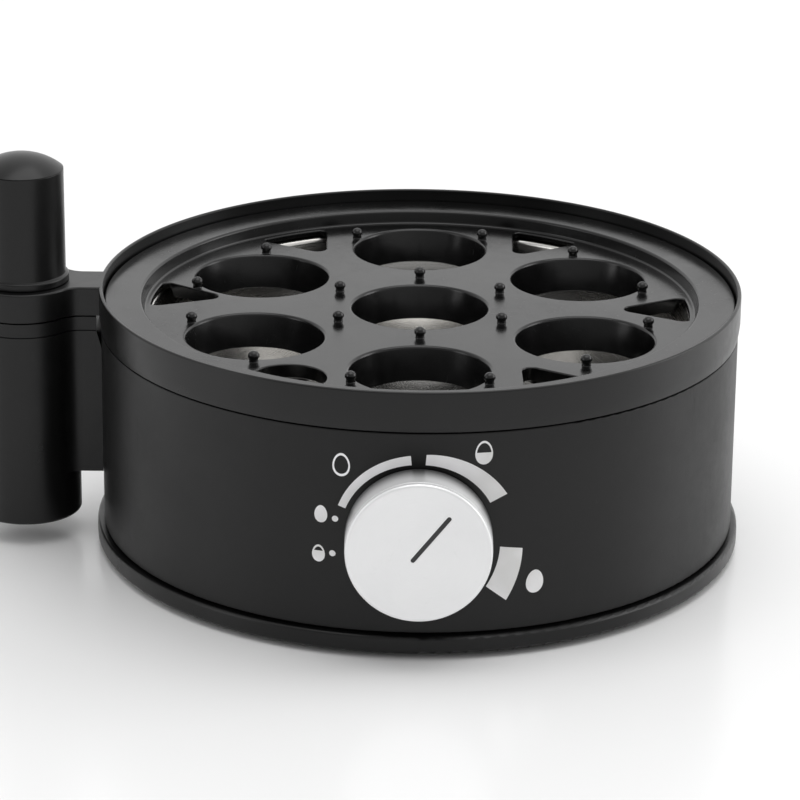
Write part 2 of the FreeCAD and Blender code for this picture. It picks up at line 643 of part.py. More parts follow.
def slot_outline(ang, grow=0.0):
    """Rounded triangle between two seats: tip inward, long side on the recess edge."""
    tip = 54.4 - grow
    hw = math.radians(8.3) + grow / 70.0
    rc = 2.6 + grow
    pts = [(tip + 1.2, -1.6 - grow * 0.5), (64.0, -7.6 - grow), (69.0, -9.9 - grow), (SLOT_OUT + grow, -9.6 - grow),
           (SLOT_OUT + grow + 0.6, 0.0), (SLOT_OUT + grow, 9.6 + grow), (69.0, 9.9 + grow), (64.0, 7.6 + grow), (tip + 1.2, 1.6 + grow * 0.5)]
    return pts


def smooth_slot(ang, grow, z0, z1):
    """Same triangle with true tangent arcs at its three corners."""
    a = (53.2 - grow * 1.6, 0.0)
    b = (74.0 + grow, -11.4 - grow * 1.25)
    c = (74.0 + grow, 11.4 + grow * 1.25)
    out = []
    tri = [a, b, c]
    rad = [2.6 + grow, 2.6 + grow, 2.6 + grow]
    for i in range(3):
        out += corner(tri[i - 1], tri[i], tri[(i + 1) % 3], rad[i])
    out.append(out[0])
    s = prism(out, z0, z1)
    s = s.common(cyl(SLOT_OUT + grow, z0 - 1, z1 + 1))
    s.rotate(V(0, 0, 0), Z, ang)
    return s


SLOT_ANGLES = [0, 60, 120, 173, -60]
for a in SLOT_ANGLES:
    tray = tray.fuse(smooth_slot(a, 1.4, 62.3, 65.4).common(cyl(72.0, 60, 64.7)).fuse(smooth_slot(a, 1.4, 64.6, 65.4)))
finger = cyl(10.0, 60, 70, *polar(67.2, -120.6)).common(cyl(SLOT_OUT + 0.4, 55, 75))
finger_wall = cyl(11.4, 62.3, 65.4, *polar(67.2, -120.6)).common(cyl(72.0, 55, 64.7))
tray = tray.fuse(finger_wall)
for (x, y) in seat_centres:
    tray = tray.cut(Part.makeCone(SEAT_R_LOW - 0.2, SEAT_R + 0.2, Z_TRAY_FLOOR - SKIRT_BOT + 0.2, V(x, y, SKIRT_BOT - 1), Z))
for a in SLOT_ANGLES:
    tray = tray.cut(smooth_slot(a, 0.0, 60, 70))
tray = tray.cut(finger)
# ball-headed studs, each set 0.6 mm deep in a blind hole in the floor
PIN_R, PIN_H, PIN_NECK = 1.55, 3.0, 1.2
CAP_H = 1.3                                       # spherical cap with its centre on the stud's axis
CAP_R = (PIN_R ** 2 + CAP_H ** 2) / (2 * CAP_H)
CAP_A = math.atan2(PIN_R, CAP_R - CAP_H)
cap_z = Z_TRAY_FLOOR + PIN_H - CAP_R
pin_pos = []
for a in SEAT_ANGLES:
    for d in (-16.5, 16.5):
        pin_pos.append(polar(63.4, a + d))
    pin_pos.append(polar(25.5, a))
studs = []
for (x, y) in pin_pos:
    studs.append(revolve([(0, Z_TRAY_FLOOR - 0.6), (PIN_NECK, Z_TRAY_FLOOR - 0.6), (PIN_NECK, Z_TRAY_FLOOR + 0.9),
                          (PIN_R, Z_TRAY_FLOOR + 1.3), (PIN_R, Z_TRAY_FLOOR + PIN_H - CAP_H),
                          ('a', (CAP_R * math.sin(CAP_A / 2), cap_z + CAP_R * math.cos(CAP_A / 2)), (0, Z_TRAY_FLOOR + PIN_H))], x, y))
    tray = tray.cut(cyl(PIN_NECK + 0.02, Z_TRAY_FLOOR - 0.6, Z_TRAY_FLOOR + 1, x, y))
put("tray_studs", group(studs))
tray = tray.removeSplitter()
put("egg_tray", tray)

# ------------------------------------------------------------------
# 11. Measuring cup hung mouth-down in the holder, its needle and cap.
# ------------------------------------------------------------------
BEAD_R, Z_BEAD = 12.45, Z_RIM + 0.06
cup = revolve(rounded([
    (CUP_R - CUP_WALL, Z_CUP_MOUTH), (CUP_R, Z_CUP_MOUTH, 0.3), (CUP_R, Z_BEAD), (BEAD_R, Z_BEAD, 0.2), (BEAD_R, Z_BEAD + 1.9, 0.6),
    (CUP_R + 0.12, Z_BEAD + 2.3), (CUP_R, Z_CUP_TOP, 0.15), (CUP_R - CUP_WALL, Z_CUP_TOP), (CUP_R - CUP_WALL, 96.0), (0, 96.0),
    (0, 94.4), (CUP_R - CUP_WALL, 94.4, 0.8)]), POST_X, 0)
put("measuring_cup", cup)
needle = revolve([(0, 96.0), (3.6, 96.0), (3.6, 97.2), (0.45, 97.6), (0.45, 102.0), (0, 103.6)], POST_X, 0)
put("piercer_needle", needle)
# dome through its apex and edge
h_dome = Z_CAP_TOP - (Z_CUP_TOP + 0.1)
zc0 = Z_CUP_TOP + 0.1
rs = (CUP_R ** 2 + h_dome ** 2) / (2 * h_dome)
am = math.asin(CUP_R / rs) / 2
mid_o = (rs * math.sin(am), Z_CAP_TOP - rs + rs * math.cos(am))
hi, ri_ = h_dome - 1.4, 9.0
rsi = (ri_ ** 2 + hi ** 2) / (2 * hi)
ami = math.asin(ri_ / rsi) / 2
mid_i = (rsi * math.sin(ami), zc0 + hi - rsi + rsi * math.cos(ami))
cap = revolve([
    (0, zc0 + hi), ('a', mid_i, (ri_, zc0)), (ri_, 100.6), (10.2, 100.6), (10.2, zc0), (CUP_R, zc0),
    ('a', mid_o, (0, Z_CAP_TOP))], POST_X, 0)
put("piercer_cap", cap)

# ------------------------------------------------------------------
# 12. Control board and what stands on it.
# ------------------------------------------------------------------
bx0, bx1, by0, by1 = BOARD
pcb = box(bx0, bx1, by0, by1, Z_BOARD, Z_BOARD + 1.6)
for (x, y) in BOARD_POSTS:
    pcb = pcb.cut(cyl(1.5, 10, 20, x, y))
put("control_board", pcb)
sc = []
for (x, y) in BOARD_POSTS:
    s = cyl(2.6, Z_BOARD + 1.6, Z_BOARD + 3.2, x, y).fuse(cyl(1.1, Z_BOARD - 6.0, Z_BOARD + 2.0, x, y))
    s = s.cut(box(x - 1.7, x + 1.7, y - 0.35, y + 0.35, Z_BOARD + 2.5, 20))
    sc.append(s)
put("board_screws", group(sc))
relay = box(20, 39, -16, 0, Z_BOARD + 1.6, 28.6)
relay = fillet_where(relay, 0.8, lambda e: abs(e.Vertexes[0].Point.z - e.Vertexes[-1].Point.z) > 5)
put("power_relay", relay)
put("buzzer", tube(6.0, 1.2, Z_BOARD + 9.8, Z_BOARD + 10.2, 52, -8).fuse(cyl(6.0, Z_BOARD + 1.6, Z_BOARD + 9.8, 52, -8)))
cap_b = box(24, 42, 8, 16, Z_BOARD + 1.6, 27.0)
cap_b = fillet_where(cap_b, 0.8, lambda e: abs(e.Vertexes[0].Point.z - e.Vertexes[-1].Point.z) > 5)
put("filter_capacitor", cap_b)

# terminal block for the mains leads, near the cord opening
tbk = box(TERM_X - 16, TERM_X + 16, TERM_Y - 8, TERM_Y + 8, 12.0, 24.0)
for x in (TERM_X - 7.5, TERM_X, TERM_X + 7.5):
    tbk = tbk.cut(ycyl(1.7, TERM_Y - 9, TERM_Y + 9, x, 16.6))
    tbk = tbk.cut(cyl(1.8, 16.0, 25.0, x, TERM_Y - 4.4)).cut(cyl(1.8, 16.0, 25.0, x, TERM_Y + 4.4))
for dx in (-12.0, 12.0):
    tbk = tbk.cut(cyl(1.5, 10, 26, TERM_X + dx, TERM_Y))
    tbk = tbk.cut(cyl(2.8, 20.0, 26, TERM_X + dx, TERM_Y))
put("terminal_block", tbk)
ts = []
for x in (TERM_X - 7.5, TERM_X, TERM_X + 7.5):
    for yy in (TERM_Y - 4.4, TERM_Y + 4.4):
        s = cyl(1.75, 18.6, 23.0, x, yy).cut(box(x - 2, x + 2, yy - 0.3, yy + 0.3, 22.2, 24))
        ts.append(s)
for dx in (-12.0, 12.0):
    s = cyl(2.6, 20.0, 21.8, TERM_X + dx, TERM_Y).fuse(cyl(1.1, 7.5, 20.5, TERM_X + dx, TERM_Y))
    ts.append(s)
put("terminal_screws", group(ts))

# earth tag on the shield
tag = box(-40.0, -26.0, -3.15, 3.15, 28.6, 29.4).fuse(box(-40.0, -39.2, -3.15, 3.15, 20.0, 29.4))
tag = tag.cut(cyl(1.6, 20, 31, -30.0, 0))
shield2 = NODES["heat_shield"].cut(cyl(1.6, 25, 35, -30.0, 0))
NODES["heat_shield"] = shield2
put("earth_tag", tag)
put("earth_rivet", cyl(1.55, 28.0, 31.0, -30, 0).fuse(cyl(2.8, 27.6, 28.6, -30, 0)).fuse(cyl(2.8, 30.2, 31.2, -30, 0)))

# ------------------------------------------------------------------
# 13. Internal leads: straight runs joined by tangent arcs.
# ------------------------------------------------------------------


def lead(points, r):
    pts = [V(*p) for p in points]
    edges = []
    cur = pts[0]
    start_dir = (pts[1] - pts[0]).normalize()
    for i in range(1, len(pts) - 1):
        a, b, c = pts[i - 1], pts[i], pts[i + 1]
        u = (a - b)
        w = (c - b)
        lu, lw = u.Length, w.Length
        u.normalize()
        w.normalize()
        ang = math.acos(max(-1, min(1, u.dot(w))))
        t = 0.45 * min(lu, lw)
        rad = t * math.tan(ang / 2)
        e = b + u * t
        x = b + w * t
        bis = (u + w)
        bis.normalize()
        ctr = b + bis * (t / math.cos(ang / 2))
        m = ctr - bis * rad
        edges.append(Part.LineSegment(cur, e).toShape())
        edges.append(Part.Arc(e, m, x).toShape())
        cur = x
    edges.append(Part.LineSegment(cur, pts[-1]).toShape())
    path = Part.Wire(edges)
    prof = Part.Wire([Part.Circle(pts[0], start_dir, r).toShape()])
    s = path.makePipeShell([prof], True, False)
    want = math.pi * r * r * path.Length
    print("lead volume ratio", round(s.Volume / want, 4), "valid", s.isValid())
    return s


ex, ey = polar(EL_R, 90 - el_gap)
Z_LEG = Z_EL - 16.5
YB = TERM_Y - 8.0
sw_y = SW_BACK + 6.0
sw_z = Z_KNOB - 8.7
leads = [
    # both element legs to the terminal block
    lead([(ex, ey, Z_LEG), (ex, ey, 15.6), (12.0, 44.0, 11.6), (7.5, 48.6, 16.6), (7.5, YB, 16.6)], 1.3),
    lead([(-ex, ey, Z_LEG), (-ex, ey, 15.6), (-12.0, 44.0, 11.6), (-7.5, 48.6, 16.6), (-7.5, YB, 16.6)], 1.3),
    # earth tag to the middle terminal
    lead([(-39.6, 0.0, 20.0), (-39.6, 0.0, 14.0), (-35.0, 12.0, 10.0), (-22.0, 26.0, 9.5), (-7.0, 36.0, 10.0), (0.0, 45.0, 15.6), (0.0, YB, 16.6)], 1.3),
    # switch tags to the board
    lead([(-6.5, sw_y, sw_z), (-6.5, sw_y + 7.0, sw_z), (1.0, -47.0, 23.5), (12.0, -34.0, 21.5), (23.0, -22.0, 22.5), (23.0, -20.5, Z_BOARD + 1.6)], 1.0),
    lead([(6.5, sw_y, sw_z), (6.5, sw_y + 7.0, sw_z), (16.0, -48.0, 23.5), (29.0, -35.0, 21.5), (41.0, -22.0, 22.5), (41.0, -20.5, Z_BOARD + 1.6)], 1.0),
]
put("internal_leads", group(leads))

# ------------------------------------------------------------------
# 14. Cord gland in the band, feet, base screws.
# ------------------------------------------------------------------
gl = yrev(rounded([
    (3.6, 82.0), (6.8, 82.0, 0.5), (6.8, 84.8), (4.95, 84.8), (4.95, R_BAND - 0.1), (7.2, R_BAND - 0.1), (6.6, Y_MAX, 1.0), (3.6, Y_MAX, 0.6)]), Z_GLAND)
gl = gl.cut(Part.makeCylinder(R_BAND, 60, V(0, 0, 0), Z).cut(Part.makeCylinder(R_BAND - T_BAND, 60, V(0, 0, 0), Z)).cut(ycyl(GLAND_HOLE_R - 0.01, 70, 100, 0, Z_GLAND)))
put("cord_gland", gl)

feet = []
for a in FOOT_ANGLES:
    x, y = polar(FOOT_POS_R, a)
    f = revolve(rounded([(0, 0), (5.4, 0, 0.5), (5.4, 3.4), (0, 3.4)]), x, y)
    f = f.fuse(cyl(1.6, 3.3, 5.4, x, y)).fuse(Part.makeCone(2.3, 1.2, 1.4, V(x, y, 5.65), Z)).fuse(cyl(1.6, 5.0, 6.0, x, y))
    feet.append(f)
put("rubber_feet", group(feet))

bsn = []
for a in SCREW_ANGLES:
    x, y = polar(SCREW_R - 0.6, a)
    s = cyl(3.0, 2.5, 4.6, x, y).fuse(cyl(1.35, 4.4, 26.0, x, y))
    s = s.cut(box(x - 1.9, x + 1.9, y - 0.35, y + 0.35, 2.0, 3.5)).cut(box(x - 0.35, x + 0.35, y - 1.9, y + 1.9, 2.0, 3.5))
    bsn.append(s)
put("base_screws", group(bsn))

# ------------------------------------------------------------------
# Write out, shifted so the origin is the centre of the footprint box.
# ------------------------------------------------------------------
bb = None
for name, s in NODES.items():
    s = s.copy()
    s.translate(V(-OFF_X, -OFF_Y, 0))
    ok = s.isValid()
    nsol = len(s.Solids)
    if not ok or nsol == 0:
        print("CHECK", name, "valid", ok, "solids", nsol)
    s.exportStep("parts/%s.step" % name)
    bb = s.BoundBox if bb is None else bb.united(s.BoundBox)
    print("%-20s solids %2d vol %9.1f" % (name, nsol, s.Volume))
print("nodes", len(NODES), "box", [round(v, 3) for v in (bb.XMin, bb.YMin, bb.ZMin, bb.XMax, bb.YMax, bb.ZMax)])
print("offset", round(OFF_X, 4), round(OFF_Y, 4))
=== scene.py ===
import bpy, bmesh, math, json
from mathutils import Vector, Matrix, geometry


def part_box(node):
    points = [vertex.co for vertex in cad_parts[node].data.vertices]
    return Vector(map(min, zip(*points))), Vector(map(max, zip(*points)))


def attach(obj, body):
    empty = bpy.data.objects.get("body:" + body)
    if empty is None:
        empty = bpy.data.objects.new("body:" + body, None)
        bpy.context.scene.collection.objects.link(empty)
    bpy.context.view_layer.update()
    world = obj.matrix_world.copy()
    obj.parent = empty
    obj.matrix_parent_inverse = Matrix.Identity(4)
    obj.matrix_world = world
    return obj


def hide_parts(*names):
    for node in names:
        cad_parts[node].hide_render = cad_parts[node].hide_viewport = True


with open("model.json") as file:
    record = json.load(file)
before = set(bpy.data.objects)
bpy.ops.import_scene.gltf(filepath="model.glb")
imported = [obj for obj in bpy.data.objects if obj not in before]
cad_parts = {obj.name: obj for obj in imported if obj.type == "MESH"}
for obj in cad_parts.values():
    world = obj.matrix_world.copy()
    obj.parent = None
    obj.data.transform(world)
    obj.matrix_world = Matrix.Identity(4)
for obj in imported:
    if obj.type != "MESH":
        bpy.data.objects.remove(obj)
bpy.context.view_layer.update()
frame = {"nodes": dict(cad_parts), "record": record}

NODES = frame["nodes"]
MM = 0.001

# body axis from the band, holder axis from the cup, knob axis from the pointer's shaft
_lo, _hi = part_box("body_band")
AX, AY = (_lo.x + _hi.x) / 2, (_lo.y + _hi.y) / 2
_lo, _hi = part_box("measuring_cup")
CX, CY = (_lo.x + _hi.x) / 2, (_lo.y + _hi.y) / 2
AY = CY      # the two axes lie in one upright plane; the band itself is open at the rear, so its box is not centred on the axis
_lo, _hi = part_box("control_shaft")
KX = (_lo.x + _hi.x) / 2
_lo, _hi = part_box("knob")
KZ = (_lo.z + _hi.z) / 2
KY0 = _lo.y
COL = bpy.context.scene.collection


# ------------------------------------------------------------------ mesh helpers
def round_profile(pts, n=6):
    """Closed (r, z) or open list in mm; a third number rounds that corner."""
    out = []
    m = len(pts)
    for i, p in enumerate(pts):
        r = p[2] if len(p) > 2 else 0.0
        if r <= 0:
            out.append((p[0], p[1]))
            continue
        a, b = pts[i - 1], pts[(i + 1) % m]
        u = Vector((a[0] - p[0], a[1] - p[1]))
        w = Vector((b[0] - p[0], b[1] - p[1]))
        lu, lw = u.length, w.length
        u.normalize(); w.normalize()
        half = math.acos(max(-1.0, min(1.0, u.dot(w)))) / 2
        t = min(r / math.tan(half), lu * 0.98, lw * 0.98)
        rr = t * math.tan(half)
        bis = (u + w).normalized()
        c = Vector((p[0], p[1])) + bis * (t / math.cos(half))
        s = Vector((p[0], p[1])) + u * t - c
        e = Vector((p[0], p[1])) + w * t - c
        a0 = math.atan2(s.y, s.x)
        d = math.atan2(e.y, e.x) - a0
        while d > math.pi: d -= 2 * math.pi
        while d < -math.pi: d += 2 * math.pi
        for k in range(n + 1):
            q = a0 + d * k / n
            out.append((c.x + rr * math.cos(q), c.y + rr * math.sin(q)))
    return out


def arc_pts(p0, pm, p1, n):
    """Points on the circle through three (r, z) points, ends included."""
    ax, ay = p0; bx, by = pm; cx, cy = p1
    d = 2 * (ax * (by - cy) + bx * (cy - ay) + cx * (ay - by))
    ux = ((ax * ax + ay * ay) * (by - cy) + (bx * bx + by * by) * (cy - ay) + (cx * cx + cy * cy) * (ay - by)) / d
    uy = ((ax * ax + ay * ay) * (cx - bx) + (bx * bx + by * by) * (ax - cx) + (cx * cx + cy * cy) * (bx - ax)) / d
    r = math.hypot(ax - ux, ay - uy)
    a0, am, a1 = (math.atan2(q[1] - uy, q[0] - ux) for q in (p0, pm, p1))
    d1 = a1 - a0
    while d1 > math.pi: d1 -= 2 * math.pi
    while d1 < -math.pi: d1 += 2 * math.pi
    return [(ux + r * math.cos(a0 + d1 * k / n), uy + r * math.sin(a0 + d1 * k / n)) for k in range(n + 1)]


def finish_mesh(bm, name, sharp=30.0, merge=1e-7):
    bmesh.ops.remove_doubles(bm, verts=bm.verts, dist=merge)
    bmesh.ops.recalc_face_normals(bm, faces=bm.faces)
    me = bpy.data.meshes.new(name)
    bm.to_mesh(me)
    bm.free()
    for p in me.polygons:
        p.use_smooth = True
    me.set_sharp_from_angle(angle=math.radians(sharp))
    ob = bpy.data.objects.new(name, me)
    COL.objects.link(ob)
    wn_mod = ob.modifiers.new("even_normals", "WEIGHTED_NORMAL")
    wn_mod.mode = "FACE_AREA"
    wn_mod.keep_sharp = True
    wn_mod.weight = 50
    return ob


def lathe(name, profile, seg=192, x=0.0, y=0.0, horizontal=None, sharp=30.0):
    """Closed (r, z) profile in mm turned about the vertical through (x, y) in metres,
    or about +Y through (x, z=horizontal) when horizontal is given, with z read as y."""
    bm = bmesh.new()
    rings = []
    for (r, z) in profile:
        ring = []
        if r < 1e-6:
            v = bm.verts.new((0, 0, z * MM))
            ring = [v] * seg
        else:
            for k in range(seg):
                a = 2 * math.pi * k / seg
                ring.append(bm.verts.new((r * MM * math.cos(a), r * MM * math.sin(a), z * MM)))
        rings.append(ring)
    n = len(rings)
    for i in range(n):
        p, q = rings[i], rings[(i + 1) % n]
        for k in range(seg):
            j = (k + 1) % seg
            vs = []
            for v in (p[k], p[j], q[j], q[k]):
                if v not in vs:
                    vs.append(v)
            if len(vs) >= 3:
                try:
                    bm.faces.new(vs)
                except ValueError:
                    pass
    if horizontal is not None:
        # turn so that the profile's z runs along +Y
        for v in bm.verts:
            v.co = Vector((v.co.x + x, v.co.z, v.co.y + horizontal))
    else:
        for v in bm.verts:
            v.co = Vector((v.co.x + x, v.co.y + y, v.co.z))
    return finish_mesh(bm, name, sharp)


def offset_loop(loop, d):
    """Closed outline moved outward by d along its own normals (loop runs counter-clockwise)."""
    n = len(loop)
    out = []
    for i in range(n):
        a, b, c = loop[i - 1], loop[i], loop[(i + 1) % n]
        t1 = Vector((b[0] - a[0], b[1] - a[1])).normalized()
        t2 = Vector((c[0] - b[0], c[1] - b[1])).normalized()
        n1, n2 = Vector((t1.y, -t1.x)), Vector((t2.y, -t2.x))
        m = (n1 + n2).normalized()
        k = d / max(0.5, m.dot(n1))
        out.append((b[0] + m.x * k, b[1] + m.y * k))
    return out


def circle_loop(cx, cy, r, n):
    return [(cx + r * math.cos(2 * math.pi * k / n), cy + r * math.sin(2 * math.pi * k / n)) for k in range(n)]


def cap_region(bm, outer, holes, z):
    """Fills the plane between one outer loop of verts and several hole loops of verts."""
    pts, owners, edges = [], [], []
    for loop in [outer] + holes:
        s = len(pts)
        for v in loop:
            pts.append(Vector((v.co.x * 1000, v.co.y * 1000)))
            owners.append(v)
        for i in range(len(loop)):
            edges.append((s + i, s + (i + 1) % len(loop)))
    vout, eout, fout, vo, eo, fo = geometry.delaunay_2d_cdt(pts, edges, [], 0, 1e-5)
    vmap = []
    for i, p in enumerate(vout):
        src = vo[i]
        vmap.append(owners[src[0]] if src else bm.verts.new((p.x / 1000, p.y / 1000, z * MM)))
    holes2 = [[(v.co.x * 1000, v.co.y * 1000) for v in h] for h in holes]
    outer2 = [(v.co.x * 1000, v.co.y * 1000) for v in outer]

    def inside(poly, x, y):
        c = False
        j = len(poly) - 1
        for i in range(len(poly)):
            xi, yi = poly[i]; xj, yj = poly[j]
            if (yi > y) != (yj > y) and x < (xj - xi) * (y - yi) / (yj - yi) + xi:
                c = not c
            j = i
        return c
    boxes = [(min(p[0] for p in h), max(p[0] for p in h), min(p[1] for p in h), max(p[1] for p in h)) for h in holes2]
    for f in fout:
        cx = sum(vout[i].x for i in f) / len(f)
        cy = sum(vout[i].y for i in f) / len(f)
        if not inside(outer2, cx, cy):
            continue
        if any(b[0] <= cx <= b[1] and b[2] <= cy <= b[3] and inside(h, cx, cy) for h, b in zip(holes2, boxes)):
            continue
        vs = [vmap[i] for i in f]
        if len(set(vs)) == len(vs):
            try:
                bm.faces.new(vs)
            except ValueError:
                pass


def loop_verts(bm, loop, z):
    return [bm.verts.new((p[0] * MM, p[1] * MM, z * MM)) for p in loop]


def bridge(bm, a, b):
    n = len(a)
    for i in range(n):
        j = (i + 1) % n
        try:
            bm.faces.new((a[i], a[j], b[j], b[i]))
        except ValueError:
            pass


def take(ob, body, node):
    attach(ob, body)
    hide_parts(node)
    return ob


rec = frame["record"]
SLOT_OF = {}
for s in rec.get("subparts", []):
    SLOT_OF[s["node"]] = s["material_slot"]
BODY_OF = {}
for b, ns in rec["behaviour"]["bodies"].items():
    for n in ns:
        BODY_OF[n] = b


# ------------------------------------------------------------------ materials
def new_mat(name):
    m = bpy.data.materials.new(name)
    m.use_nodes = True
    nt = m.node_tree
    nt.nodes.clear()
    out = nt.nodes.new("ShaderNodeOutputMaterial")
    bs = nt.nodes.new("ShaderNodeBsdfPrincipled")
    nt.links.new(bs.outputs[0], out.inputs[0])
    return m, nt, bs


def node(nt, kind, **kw):
    n = nt.nodes.new(kind)
    for k, v in kw.items():
        setattr(n, k, v)
    return n


def noise_tex(nt, co, scale, detail=4.0, rough=0.55, dist=0.0, stretch=None):
    src = co
    if stretch:
        mp = node(nt, "ShaderNodeMapping")
        mp.inputs["Scale"].default_value = stretch
        nt.links.new(co, mp.inputs["Vector"])
        src = mp.outputs[0]
    t = node(nt, "ShaderNodeTexNoise")
    t.inputs["Scale"].default_value = scale
    t.inputs["Detail"].default_value = detail
    t.inputs["Roughness"].default_value = rough
    t.inputs["Distortion"].default_value = dist
    nt.links.new(src, t.inputs["Vector"])
    return t.outputs["Fac"]


def remap(nt, fac, a, b, c, d, smooth=False):
    m = node(nt, "ShaderNodeMapRange")
    m.interpolation_type = "SMOOTHSTEP" if smooth else "LINEAR"
    m.inputs["From Min"].default_value = a
    m.inputs["From Max"].default_value = b
    m.inputs["To Min"].default_value = c
    m.inputs["To Max"].default_value = d
    nt.links.new(fac, m.inputs["Value"])
    return m.outputs["Result"]


def math2(nt, op, a, b=None, clamp=False):
    m = node(nt, "ShaderNodeMath", operation=op)
    m.use_clamp = clamp
    for i, v in enumerate((a, b)):
        if v is None:
            continue
        if isinstance(v, (int, float)):
            m.inputs[i].default_value = v
        else:
            nt.links.new(v, m.inputs[i])
    return m.outputs[0]


def mix_col(nt, fac, a, b):
    m = node(nt, "ShaderNodeMix", data_type="RGBA")
    if isinstance(fac, (int, float)):
        m.inputs[0].default_value = fac
    else:
        nt.links.new(fac, m.inputs[0])
    for i, v in ((6, a), (7, b)):
        if isinstance(v, tuple):
            m.inputs[i].default_value = v
        else:
            nt.links.new(v, m.inputs[i])
    return m.outputs[2]


def rgb(v, g=None, b=None):
    return (v, v if g is None else g, v if b is None else b, 1.0)


def plastic(name, base, rough, rvar=0.05, grain=2600.0, grain_h=0.012, wave_h=0.03, ior=1.5, wear=0.35,
            coat=0.0, coat_rough=0.1, tint=(1, 1, 1), specks=0.25, round_mm=0.0):
    """Moulded plastic: fine spark grain, slow sink-mark waviness, roughness drift, dust specks and scuffed patches."""
    m, nt, bs = new_mat(name)
    tc = node(nt, "ShaderNodeTexCoord")
    co = tc.outputs["Object"]
    slow = noise_tex(nt, co, 38.0, 3.0, 0.5)
    mid = noise_tex(nt, co, 320.0, 4.0, 0.6)
    fine = noise_tex(nt, co, grain, 3.0, 0.65)
    scr = noise_tex(nt, co, 900.0, 2.0, 0.7, 0.6, stretch=(1.0, 1.0, 0.06))
    scr2 = noise_tex(nt, co, 700.0, 2.0, 0.7, 0.9, stretch=(0.08, 1.0, 1.0))
    base_a = rgb(base * tint[0], base * tint[1], base * tint[2])
    base_b = rgb(base * 1.45 * tint[0], base * 1.45 * tint[1], base * 1.5 * tint[2])
    c1 = mix_col(nt, remap(nt, slow, 0.35, 0.68, 0.0, 1.0), base_a, base_b)
    dust = remap(nt, noise_tex(nt, co, 1500.0, 1.0, 0.5), 0.735, 0.80, 0.0, specks, True)
    c2 = mix_col(nt, dust, c1, rgb(0.11, 0.108, 0.104))
    scuff = remap(nt, noise_tex(nt, co, 210.0, 5.0, 0.72, 0.3), 0.62, 0.74, 0.0, wear * 0.12, True)
    c3 = mix_col(nt, scuff, c2, rgb(0.05, 0.05, 0.051))
    nt.links.new(c3, bs.inputs["Base Color"])
    r1 = remap(nt, slow, 0.3, 0.7, rough - rvar, rough + rvar)
    r2 = math2(nt, "ADD", r1, remap(nt, mid, 0.3, 0.7, -rvar * 0.5, rvar * 0.5))
    s1 = remap(nt, scr, 0.66, 0.74, 0.0, 0.06, True)
    s2 = remap(nt, scr2, 0.67, 0.75, 0.0, 0.05, True)
    r3 = math2(nt, "ADD", r2, math2(nt, "ADD", s1, s2))
    r4 = math2(nt, "ADD", r3, math2(nt, "MULTIPLY", scuff, 0.2), clamp=True)
    nt.links.new(r4, bs.inputs["Roughness"])
    bs.inputs["IOR"].default_value = ior
    if coat:
        bs.inputs["Coat Weight"].default_value = coat
        bs.inputs["Coat Roughness"].default_value = coat_rough
    b1 = node(nt, "ShaderNodeBump")
    b1.inputs["Strength"].default_value = 1.0
    b1.inputs["Distance"].default_value = wave_h * MM
    nt.links.new(slow, b1.inputs["Height"])
    if round_mm:
        bv = node(nt, "ShaderNodeBevel")
        bv.samples = 4
        bv.inputs["Radius"].default_value = round_mm * MM
        nt.links.new(bv.outputs[0], b1.inputs["Normal"])
    b2 = node(nt, "ShaderNodeBump")
    b2.inputs["Strength"].default_value = 1.0
    b2.inputs["Distance"].default_value = grain_h * MM
    nt.links.new(fine, b2.inputs["Height"])
    nt.links.new(b1.outputs[0], b2.inputs["Normal"])
    nt.links.new(b2.outputs[0], bs.inputs["Normal"])
    return m


